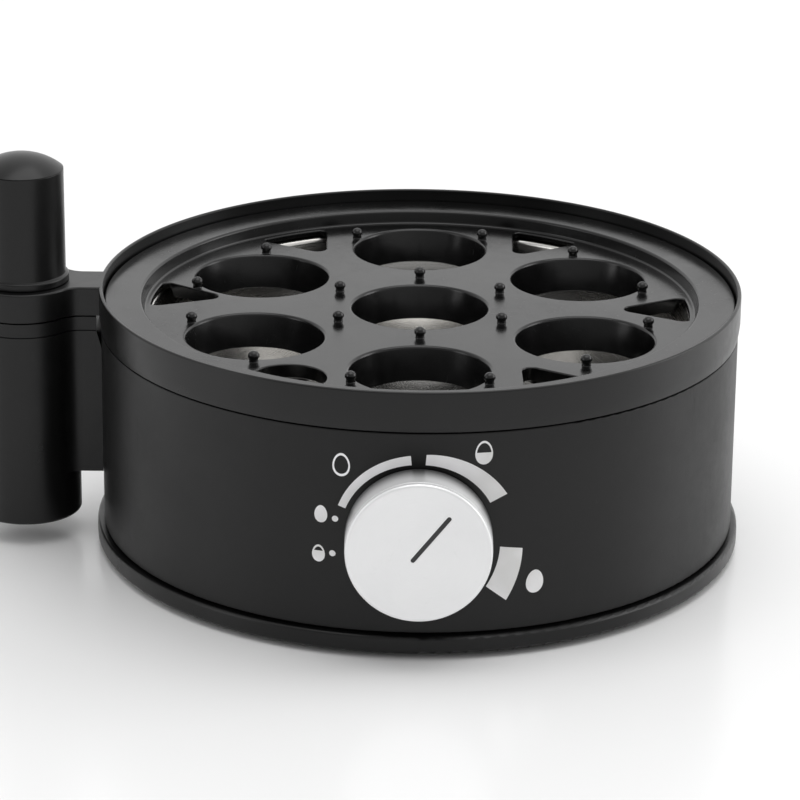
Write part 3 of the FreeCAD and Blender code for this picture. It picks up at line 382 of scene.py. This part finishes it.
def metal(name, col, rough, rvar=0.04, brushed=None, scale=1500.0, bump=0.004, spin=None, stain=0.0, tint2=None, metallic=1.0):
    """Metal with directional brushing or a spun finish, slow tone drift and small marks; on the knob, a painted
    reflection darkens the side wall towards the body.
    """
    m, nt, bs = new_mat(name)
    tc = node(nt, "ShaderNodeTexCoord")
    co = tc.outputs["Object"]
    slow = noise_tex(nt, co, 45.0, 3.0, 0.5)
    if spin is not None:
        # radius from a horizontal axis through (KX, KZ)
        sep = node(nt, "ShaderNodeSeparateXYZ")
        nt.links.new(co, sep.inputs[0])
        if spin == "knob":
            a = math2(nt, "SUBTRACT", sep.outputs[0], KX)
            b = math2(nt, "SUBTRACT", sep.outputs[2], KZ)
            c = sep.outputs[1]
        else:
            a = math2(nt, "SUBTRACT", sep.outputs[0], AX)
            b = math2(nt, "SUBTRACT", sep.outputs[1], AY)
            c = sep.outputs[2]
        rr = math2(nt, "SQRT", math2(nt, "ADD", math2(nt, "MULTIPLY", a, a), math2(nt, "MULTIPLY", b, b)))
        comb = node(nt, "ShaderNodeCombineXYZ")
        nt.links.new(rr, comb.inputs[0])
        nt.links.new(c, comb.inputs[1])
        ang = math2(nt, "MULTIPLY", math2(nt, "ARCTAN2", a, b), 0.0006)
        nt.links.new(ang, comb.inputs[2])
        lines = noise_tex(nt, comb.outputs[0], scale, 4.0, 0.7)
    else:
        lines = noise_tex(nt, co, scale, 4.0, 0.7, 0.0, stretch=brushed)
    marks = noise_tex(nt, co, 420.0, 4.0, 0.65, 0.4)
    ca = rgb(*col)
    t2 = tint2 or tuple(c * 0.9 for c in col)
    c1 = mix_col(nt, remap(nt, slow, 0.35, 0.7, 0.0, 1.0), ca, rgb(*t2))
    c2 = mix_col(nt, remap(nt, lines, 0.3, 0.75, 0.0, 0.12), c1, rgb(*(c * 0.75 for c in col)))
    if spin == "knob":
        # painted reflection and shade: the side wall is painted darker towards the body, standing in for the black band
        # mirrored in the metal and the shade beside it
        sp3 = node(nt, "ShaderNodeSeparateXYZ")
        nt.links.new(co, sp3.inputs[0])
        knob_side_painted_reflection = remap(nt, sp3.outputs[1], KY0 + 0.0030, KY0 + 0.0105, 0.0, 0.93, True)
        c2 = mix_col(nt, knob_side_painted_reflection, c2, rgb(0.02, 0.02, 0.021))
    if stain:
        c2 = mix_col(nt, remap(nt, marks, 0.6, 0.75, 0.0, stain, True), c2, rgb(*(c * 0.55 for c in col)))
    nt.links.new(c2, bs.inputs["Base Color"])
    r1 = remap(nt, slow, 0.3, 0.7, rough - rvar, rough + rvar)
    r2 = math2(nt, "ADD", r1, remap(nt, lines, 0.3, 0.7, -rvar, rvar))
    r3 = math2(nt, "ADD", r2, remap(nt, marks, 0.62, 0.75, 0.0, 0.08, True), clamp=True)
    nt.links.new(r3, bs.inputs["Roughness"])
    bs.inputs["Metallic"].default_value = metallic
    bp = node(nt, "ShaderNodeBump")
    bp.inputs["Strength"].default_value = 1.0
    bp.inputs["Distance"].default_value = bump * MM
    nt.links.new(lines, bp.inputs["Height"])
    nt.links.new(bp.outputs[0], bs.inputs["Normal"])
    return m


MAT = {
    "base_black": plastic("base_black", 0.0020, 0.32, 0.05, 3000.0, 0.006, 0.02, ior=1.40, specks=0.05, wear=0.10, round_mm=0.25),
    "band_black": plastic("band_black", 0.0022, 0.46, 0.04, 3600.0, 0.010, 0.03, ior=1.41, specks=0.06, wear=0.10),
    "collar_black": plastic("collar_black", 0.0022, 0.33, 0.05, 3200.0, 0.006, 0.02, ior=1.42, specks=0.05, wear=0.14),
    "tray_black": plastic("tray_black", 0.0020, 0.21, 0.05, 2800.0, 0.005, 0.02, ior=1.45, specks=0.05, wear=0.16),
    "cup_black": plastic("cup_black", 0.0020, 0.33, 0.04, 3000.0, 0.005, 0.02, ior=1.41, specks=0.05, wear=0.14),
    # knob_silver carries a painted reflection and painted shade of the black band on the knob's side wall
    "knob_silver": metal("knob_silver", (0.90, 0.902, 0.906), 0.40, 0.04, spin="knob", scale=5200.0, bump=0.0012, stain=0.06,
                         tint2=(0.87, 0.872, 0.878), metallic=0.5),
    "pointer_dark": plastic("pointer_dark", 0.022, 0.5, 0.05, specks=0.1, wear=0.1),
    "print_grey": plastic("print_grey", 0.72, 0.55, 0.04, grain=5200.0, grain_h=0.004, wave_h=0.0, specks=0.05, wear=0.0,
                          tint=(1.0, 0.995, 0.985)),
    "pan_steel": metal("pan_steel", (0.68, 0.67, 0.65), 0.24, 0.05, spin="body", scale=2600.0, bump=0.003, stain=0.25,
                       tint2=(0.62, 0.605, 0.575)),
    "plain_steel": metal("plain_steel", (0.56, 0.56, 0.55), 0.36, 0.06, brushed=(1, 1, 0.05), stain=0.3),
    "aluminium": metal("aluminium", (0.80, 0.80, 0.80), 0.38, 0.05, brushed=(0.05, 1, 1), stain=0.2),
    "element_sheath": metal("element_sheath", (0.30, 0.29, 0.27), 0.45, 0.08, brushed=(1, 1, 1), scale=900.0, stain=0.6,
                            tint2=(0.22, 0.17, 0.14)),
    "seal_silicone": plastic("seal_silicone", 0.42, 0.62, 0.05, tint=(1.0, 0.98, 0.94), wear=0.0, specks=0.2),
    "phenolic": plastic("phenolic", 0.035, 0.5, 0.06, tint=(1.0, 0.62, 0.42), wear=0.3),
    "fuse_metal": metal("fuse_metal", (0.72, 0.70, 0.66), 0.3, 0.05, brushed=(1, 0.06, 1)),
    "switch_plastic": plastic("switch_plastic", 0.03, 0.48, 0.05, wear=0.3),
    "brass": metal("brass", (0.78, 0.58, 0.28), 0.32, 0.06, brushed=(1, 1, 0.2), stain=0.3),
    "board_green": plastic("board_green", 0.05, 0.38, 0.05, tint=(0.35, 1.6, 0.55), wear=0.1, coat=0.4),
    "relay_blue": plastic("relay_blue", 0.10, 0.40, 0.05, tint=(0.25, 0.7, 2.4), wear=0.1),
    "capacitor_yellow": plastic("capacitor_yellow", 0.42, 0.42, 0.05, tint=(1.5, 1.05, 0.12), wear=0.0),
    "block_white": plastic("block_white", 0.62, 0.45, 0.05, wear=0.0, specks=0.2),
    "lead_silicone": plastic("lead_silicone", 0.50, 0.55, 0.05, tint=(1.0, 0.97, 0.92), wear=0.0),
    "rubber_black": plastic("rubber_black", 0.014, 0.66, 0.05, grain=2400.0, grain_h=0.02, wear=0.4, specks=0.4),
    "foot_rubber": plastic("foot_rubber", 0.03, 0.74, 0.05, grain=2000.0, grain_h=0.03, wear=0.4, specks=0.5),
    "fastener_steel": metal("fastener_steel", (0.52, 0.52, 0.51), 0.32, 0.07, brushed=(1, 1, 1), scale=2200.0, stain=0.35),
}
for n, ob in NODES.items():
    mat = MAT[SLOT_OF[n]]
    if not ob.material_slots:
        ob.data.materials.append(mat)
    for s in ob.material_slots:
        s.material = mat


# ------------------------------------------------------------------ replacement pieces
def paint(ob, slot):
    ob.data.materials.append(MAT[slot])
    return ob


def ring_verts(bm, r, z, seg, cx=0.0, cy=0.0):
    return loop_verts(bm, circle_loop(cx, cy, r, seg), z)


def strip(bm, loops):
    for a, b in zip(loops, loops[1:]):
        bridge(bm, a, b)


def densify(pts, step):
    out = []
    for i, p in enumerate(pts):
        q = pts[(i + 1) % len(pts)]
        n = max(1, int(math.hypot(q[0] - p[0], q[1] - p[1]) / step))
        for k in range(n):
            out.append((p[0] + (q[0] - p[0]) * k / n, p[1] + (q[1] - p[1]) * k / n))
    return out


def pull_in(pts, r):
    out = []
    for x, y in pts:
        d = math.hypot(x, y)
        out.append((x * r / d, y * r / d) if d > r else (x, y))
    return out


def spin_pts(pts, deg):
    c, s = math.cos(math.radians(deg)), math.sin(math.radians(deg))
    return [(x * c - y * s, x * s + y * c) for x, y in pts]


def make_tray():
    """One moulding: flat outer band, step, floor, seven tapered seats, steam openings and a finger hole, all with rolled lips."""
    bm = bmesh.new()
    seg = 360
    edge = round_profile([(74.3, 66.1), (75.3, 66.1, 0.7), (75.9, 69.7, 0.8), (86.0, 69.7, 0.5), (86.0, 67.75, 0.3),
                          (77.4, 67.75, 0.8), (76.8, 64.5, 0.8), (75.2, 64.5)], 6)
    loops = [ring_verts(bm, r, z, seg) for r, z in edge]
    strip(bm, loops)
    top_holes, low_holes = [], []
    seats = [(0.0, 0.0)] + [(51.0 * math.cos(math.radians(30 + 60 * i)), 51.0 * math.sin(math.radians(30 + 60 * i))) for i in range(6)]
    for sx, sy in seats:
        prof = [(19.35, 66.1), (19.12, 66.06), (18.88, 65.94), (18.68, 65.76), (18.55, 65.55), (18.5, 65.3), (17.5, 61.3),
                (16.5, 57.2), (16.56, 57.05), (16.72, 57.0), (17.45, 57.0), (17.62, 57.06), (17.7, 57.25), (18.7, 60.9), (19.75, 64.5)]
        ls = [ring_verts(bm, r, z, 144, sx, sy) for r, z in prof]
        strip(bm, ls)
        top_holes.append(ls[0])
        low_holes.append(ls[-1])
    outlines = []
    for a in (0, 60, 120, 173, -60):
        tri = round_profile([(53.2, 0.0, 2.6), (74.0, -11.4, 2.6), (74.0, 11.4, 2.6)], 10)
        outlines.append(spin_pts(pull_in(densify(tri, 0.7), 73.6), a))
    fx, fy = 67.2 * math.cos(math.radians(-120.6)), 67.2 * math.sin(math.radians(-120.6))
    outlines.append(pull_in(circle_loop(fx, fy, 10.0, 120), 73.6))
    for o in outlines:
        ls = []
        for d, z in ((0.40, 66.1), (0.25, 66.07), (0.11, 65.97), (0.03, 65.83), (0.0, 65.65)):
            ls.append(loop_verts(bm, offset_loop(o, d), z))
        for d, z in ((0.0, 62.45), (0.15, 62.3), (0.95, 62.3), (1.1, 62.45)):
            pts = offset_loop(o, d)
            ls.append([bm.verts.new((x * MM, y * MM, (z if math.hypot(x, y) < 71.2 else 64.62 - (64.6 - z) * 0.02) * MM)) for x, y in pts])
        ls.append(loop_verts(bm, offset_loop(o, 1.1), 64.5))
        strip(bm, ls)
        top_holes.append(ls[0])
        low_holes.append(ls[-1])
    cap_region(bm, loops[0], top_holes, 66.1)
    cap_region(bm, loops[-1], low_holes, 64.5)
    for v in bm.verts:
        v.co.x += AX
        v.co.y += AY
    return finish_mesh(bm, "egg_tray_v", 32.0)


def make_knob():
    """Face disc over a tapered side wall with a fine parting groove, hollow behind, with the pointer's slot cut in the face."""
    bm = bmesh.new()
    seg = 256
    front = -98.6
    prof = round_profile([(17.7, front), (18.72, front, 0.8), (18.82, -97.35, 0.12), (18.42, -97.2), (18.42, -96.9), (18.84, -96.75, 0.12),
                          (18.95, -87.7, 0.4), (17.6, -87.7, 0.2), (17.2, -96.6), (5.6, -96.6), (5.6, -92.9, 0.2)], 6)
    loops = [ring_verts(bm, r, z, seg) for r, z in prof]
    strip(bm, loops)
    cap_region(bm, loops[-1], [], -92.9)
    a = math.radians(PTR_A)
    w, i0, i1 = PTR_W / 2, PTR_IN, PTR_OUT
    o = [(w * math.cos(t), i1 + w * math.sin(t)) for t in [math.pi * k / 14 for k in range(15)]]
    o += [(w * math.cos(t), i0 + w * math.sin(t)) for t in [math.pi + math.pi * k / 14 for k in range(15)]]
    o = [(x * math.cos(a) + y * math.sin(a), -x * math.sin(a) + y * math.cos(a)) for x, y in densify(o, 0.6)]
    ls = [loop_verts(bm, offset_loop(o, 0.12), front), loop_verts(bm, offset_loop(o, 0.04), front + 0.04), loop_verts(bm, o, front + 0.14),
          loop_verts(bm, o, front + 0.5)]
    strip(bm, ls)
    cap_region(bm, ls[-1], [], front + 0.5)
    cap_region(bm, loops[0], [ls[0]], front)
    dy = KY0 * 1000 - front
    for v in bm.verts:
        v.co = Vector((v.co.x + KX, v.co.z + dy * MM, v.co.y + KZ))
    return finish_mesh(bm, "knob_v", 32.0)


PTR_IN, PTR_OUT, PTR_W, PTR_A = -2.3, 12.2, 1.15, 38.5
take(paint(make_tray(), SLOT_OF["egg_tray"]), BODY_OF["egg_tray"], "egg_tray")
take(paint(make_knob(), SLOT_OF["knob"]), BODY_OF["knob"], "knob")
cup_v = lathe("measuring_cup_v", round_profile([
    (10.35, 22.0, 0.3), (11.55, 22.0, 0.4), (11.55, 73.06, 0.1), (12.45, 73.06, 0.3), (12.45, 74.96, 0.6), (11.67, 75.36, 0.2), (11.55, 104.4, 0.25),
    (10.4, 104.4, 0.1), (10.35, 96.0), (0.0, 96.0), (0.0, 94.4), (10.35, 94.4, 0.8)], 6), 192, CX, CY)
take(paint(cup_v, SLOT_OF["measuring_cup"]), BODY_OF["measuring_cup"], "measuring_cup")


def ear_loop(off, d_in):
    """Ring round the post blended by two concave arcs into a straight bridge; points nearer the body axis than d_in are set on that radius."""
    px, ro, hw, rf = -108.35, 14.8 - off, 7.3 - off, 6.5 + off
    cyf = hw + rf
    dx = math.sqrt((ro + rf) ** 2 - cyf ** 2)
    cxf = px + dx
    k = ro / (ro + rf)
    tx, ty = px + dx * k, cyf * k
    at = math.atan2(ty, tx - px)
    a0 = math.atan2(ty - cyf, tx - cxf)
    if a0 > 0:
        a0 -= 2 * math.pi
    a1 = -math.pi / 2
    up = [(-math.sqrt(d_in ** 2 - hw ** 2), hw), (cxf, hw)]
    up += [(cxf + rf * math.cos(a1 + (a0 - a1) * i / 12), cyf + rf * math.sin(a1 + (a0 - a1) * i / 12)) for i in range(1, 13)]
    ring = [(px + ro * math.cos(at + (2 * math.pi - 2 * at) * i / 96), ro * math.sin(at + (2 * math.pi - 2 * at) * i / 96)) for i in range(1, 96)]
    dn = [(x, -y) for x, y in reversed(up)]
    n = 12
    a_end = math.asin(hw / d_in)
    close = [(-d_in * math.cos(a_end - 2 * a_end * i / n), -d_in * math.sin(a_end - 2 * a_end * i / n)) for i in range(1, n)]
    return up + ring + dn + close


def make_collar():
    """Rim, ledge and skirt as one turned ring, the ear with its bore and rolled top edge, and four screw posts with ribs."""
    bm = bmesh.new()
    prof = round_profile([(79.6, 62.6, 0.2), (83.3, 62.6, 0.3), (83.3, 55.0, 0.2), (85.1, 55.0, 0.2), (85.1, 62.1), (87.08, 62.1, 0.18),
                          (87.5, 65.4), (87.5, 73.0, 0.5), (86.4, 73.0, 0.45), (86.4, 65.8, 0.3), (79.6, 65.8, 0.4)], 6)
    loops = [ring_verts(bm, r, z, 360) for r, z in prof]
    strip(bm, loops + [loops[0]])
    # ear: side wall, rolled top edge, flat top, bore with a chamfered mouth, flat underside
    lv = [loop_verts(bm, ear_loop(0.3, 87.05), 64.9), loop_verts(bm, ear_loop(0.09, 87.05), 64.99), loop_verts(bm, ear_loop(0.0, 87.05), 65.2),
          loop_verts(bm, ear_loop(0.0, 87.05), 72.4)]
    for q in (15, 30, 45, 60, 75, 90):
        c = math.radians(q)
        lv.append(loop_verts(bm, ear_loop(0.6 * (1 - math.cos(c)), 87.05), 72.4 + 0.6 * math.sin(c)))
    strip(bm, lv)
    bore = [ring_verts(bm, r, z, 144, -108.35, 0.0) for r, z in
            ((12.5, 73.0), (12.38, 72.94), (12.02, 72.58), (11.95, 72.45), (11.95, 65.1), (12.15, 64.9))]
    strip(bm, bore)
    cap_region(bm, lv[-1], [bore[0]], 73.0)
    cap_region(bm, lv[0], [bore[-1]], 64.9)
    # hollow screw posts under the skirt, each with a rib
    for a in (45, 135, 225, 315):
        c, s2 = math.cos(math.radians(a)), math.sin(math.radians(a))
        px, py = 79.4 * c, 79.4 * s2
        ls = [ring_verts(bm, r, z, 48, px, py) for r, z in
              ((1.35, 34.0), (1.35, 12.4), (1.55, 12.2), (3.3, 12.2), (3.5, 12.4), (3.5, 61.3), (3.3, 61.5))]
        strip(bm, ls)
        cap_region(bm, ls[-1], [], 61.5)
        cap_region(bm, ls[0], [], 34.0)
        rib = [bm.verts.new(((r * c - t * s2) * MM, (r * s2 + t * c) * MM, z * MM)) for z in (55.5, 61.5) for r, t in ((80.0, -1.0), (84.2, -1.0), (84.2, 1.0), (80.0, 1.0))]
        for f in ((0, 3, 2, 1), (4, 5, 6, 7), (0, 1, 5, 4), (1, 2, 6, 5), (2, 3, 7, 6), (3, 0, 4, 7)):
            bm.faces.new([rib[i] for i in f])
    for v in bm.verts:
        v.co.x += AX
        v.co.y += AY
    return finish_mesh(bm, "top_collar_v", 32.0)


def make_studs():
    """Ball-headed studs on short necks, each standing in the tray's floor."""
    bm = bmesh.new()
    prof = [(0.0, 69.1), (0.32, 69.07), (0.64, 68.97), (0.95, 68.79), (1.22, 68.52), (1.42, 68.2), (1.53, 67.86), (1.55, 67.62), (1.5, 67.42), (1.36, 67.24),
            (1.22, 67.06), (1.2, 66.9), (1.2, 66.3), (1.3, 66.12), (1.34, 66.02), (1.18, 65.6), (0.0, 65.6)]
    spots = []
    for a in (30, 90, 150, 210, 270, 330):
        for r, t in ((63.4, a - 16.5), (63.4, a + 16.5), (25.5, a)):
            spots.append((r * math.cos(math.radians(t)), r * math.sin(math.radians(t))))
    for sx, sy in spots:
        seg = 40
        ls = [ring_verts(bm, r, z, seg, sx, sy) for r, z in prof[1:-1]]
        strip(bm, ls)
        for end, z in ((ls[0], 69.1), (ls[-1], 65.6)):
            v = bm.verts.new((sx * MM, sy * MM, z * MM))
            for i in range(seg):
                bm.faces.new((end[i], end[(i + 1) % seg], v))
    for v in bm.verts:
        v.co.x += AX
        v.co.y += AY
    return finish_mesh(bm, "tray_studs_v", 40.0)


base_body = frame["record"]["behaviour"].get("root") or BODY_OF.get("body_band") or "cooker_body"
take(paint(make_collar(), SLOT_OF["top_collar"]), base_body, "top_collar")
take(paint(make_studs(), SLOT_OF["tray_studs"]), BODY_OF["tray_studs"], "tray_studs")

# ------------------------------------------------------------------ floor, camera, light
def make_floor():
    bm = bmesh.new()
    n, half = 24, 3.0
    grid = [[bm.verts.new((-half + 2 * half * i / n, -half + 2 * half * j / n, 0.0)) for i in range(n + 1)] for j in range(n + 1)]
    for j in range(n):
        for i in range(n):
            bm.faces.new((grid[j][i], grid[j][i + 1], grid[j + 1][i + 1], grid[j + 1][i]))
    me = bpy.data.meshes.new("floor")
    bm.to_mesh(me)
    bm.free()
    ob = bpy.data.objects.new("floor", me)
    COL.objects.link(ob)
    m, nt, bs = new_mat("floor_white")
    bs.inputs["Base Color"].default_value = rgb(0.90)
    bs.inputs["Roughness"].default_value = 0.22
    bs.inputs["IOR"].default_value = 1.45
    me.materials.append(m)
    return ob


make_floor()

cam = bpy.data.cameras.new("camera")
cam.lens = 173.38
cam.sensor_width = 36.0
cam.clip_start = 0.05
cam.clip_end = 20.0
cam.dof.use_dof = False
camo = bpy.data.objects.new("camera", cam)
COL.objects.link(camo)
camo.matrix_world = Matrix.Translation((0.012030, -0.99390, 0.406515)) @ Matrix.Rotation(math.radians(69.777), 4, "X") @ Matrix.Rotation(math.radians(0.629), 4, "Z")
bpy.context.scene.camera = camo


def area(name, loc, target, sx, sy, power):
    l = bpy.data.lights.new(name, "AREA")
    l.shape = "RECTANGLE"
    l.size, l.size_y = sx, sy
    l.energy = power
    ob = bpy.data.objects.new(name, l)
    COL.objects.link(ob)
    ob.location = loc
    d = Vector(target) - Vector(loc)
    ob.rotation_euler = d.to_track_quat("-Z", "Y").to_euler()
    ob.visible_camera = False
    return ob


area("key_top", (0.10, -0.10, 1.4), (0, 0, 0.03), 1.3, 1.1, 7.0)
area("fill_left", (-1.3, -0.5, 0.55), (-0.02, 0, 0.05), 0.5, 0.9, 2.0)
area("fill_right", (1.3, 0.15, 0.55), (0.02, 0, 0.05), 0.6, 0.9, 4.0)

w = bpy.data.worlds.new("studio")
bpy.context.scene.world = w
w.use_nodes = True
wn = w.node_tree
wn.nodes.clear()
wo = wn.nodes.new("ShaderNodeOutputWorld")
bg = wn.nodes.new("ShaderNodeBackground")
bg.inputs["Color"].default_value = rgb(1.0)
# pure white behind the object; for light and reflections a soft tent that is brighter behind and overhead than in front
lp = wn.nodes.new("ShaderNodeLightPath")
tcw = wn.nodes.new("ShaderNodeTexCoord")
sp = wn.nodes.new("ShaderNodeSeparateXYZ")
wn.links.new(tcw.outputs["Generated"], sp.inputs[0])
back = remap(wn, sp.outputs[1], -0.9, 0.9, 0.55, 1.10, True)
side = remap(wn, sp.outputs[0], -0.9, 0.9, -0.12, 0.12, True)
tent = math2(wn, "ADD", back, side)
st = wn.nodes.new("ShaderNodeMix")
st.data_type = "FLOAT"
wn.links.new(lp.outputs["Is Camera Ray"], st.inputs[0])
wn.links.new(tent, st.inputs[2])
st.inputs[3].default_value = 1.05
wn.links.new(st.outputs[0], bg.inputs["Strength"])
wn.links.new(bg.outputs[0], wo.inputs[0])
bpy.context.scene.view_settings.view_transform = "Standard"
bpy.context.scene.view_settings.look = "None"
